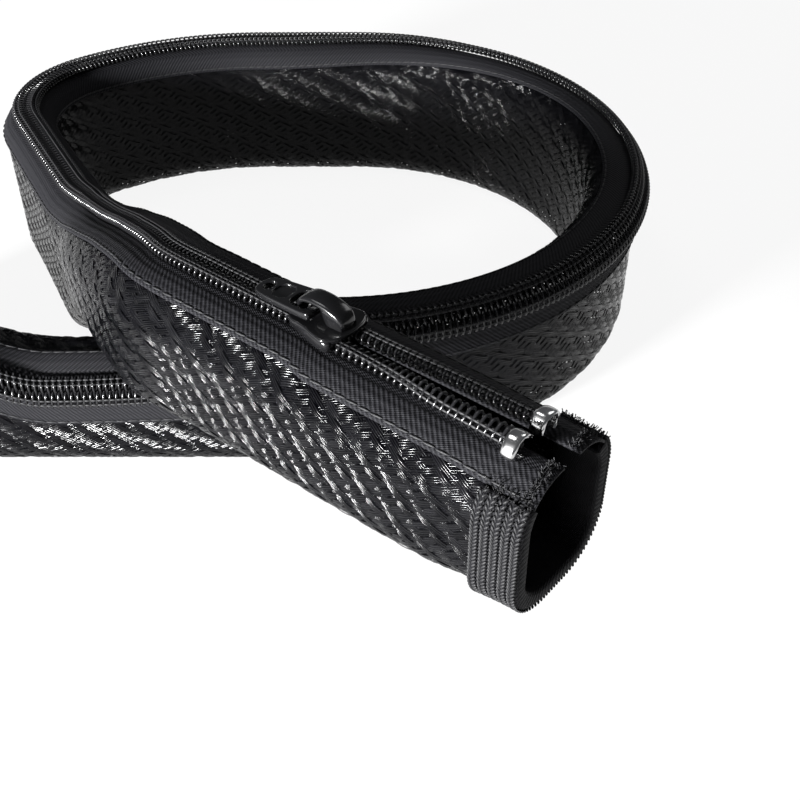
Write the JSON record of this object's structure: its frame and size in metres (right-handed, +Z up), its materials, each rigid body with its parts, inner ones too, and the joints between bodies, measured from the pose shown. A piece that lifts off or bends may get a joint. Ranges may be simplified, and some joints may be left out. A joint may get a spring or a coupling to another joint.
{
  "type": "zippered braided cable sleeve",
  "caption": "Braided cable sleeve with a lengthwise coil zipper, a slider with a pull tab and ribbed hems, lying in a loop with one end resting across the other.",
  "frame": {"origin": "on the table under the middle of the sleeve's outline", "axes": "+X along the straight front run towards the open mouth, +Z up, +Y from the front run towards the back of the loop"},
  "size_m": [0.2274, 0.213, 0.0756],
  "materials": {
    "braid": "woven black plastic filament with a satin sheen",
    "tape": "woven black herringbone tape, matt",
    "coil": "smooth black filament, glossy",
    "thread": "black sewing thread",
    "hem": "ribbed black binding tape, matt",
    "stop": "bright plated metal",
    "slider": "gloss black enamel",
    "spring": "bare spring steel"
  },
  "bodies": {
    "sleeve": {"braid": "braid", "tape_left": "tape", "tape_right": "tape", "coil_left": "coil", "coil_right": "coil", "coil_cord_left": "thread", "coil_cord_right": "thread", "seam_left": "thread", "seam_right": "thread", "hem_front": "hem", "hem_rear": "hem", "hem_thread_front": "thread", "hem_thread_rear": "thread", "top_stop_left": "stop", "top_stop_right": "stop", "bottom_stop": "stop"},
    "slider": {"slider_body": "slider", "slider_cap": "slider", "lock_spring": "spring"},
    "pull": {"pull_tab": "slider"}
  },
  "joints": [
    {"name": "zip_slide", "type": "slide", "parent": "sleeve", "child": "slider", "axis": [1, 0, 0], "range_m": [-0.022, 0.033], "deforming": ["coil_left", "coil_right", "coil_cord_left", "coil_cord_right"]},
    {"name": "pull_hinge", "type": "hinge", "parent": "slider", "child": "pull", "pos_m": [0.06312, -0.06137, 0.07238], "axis": [0, 1, 0], "range_deg": [0, 150]}
  ]
}
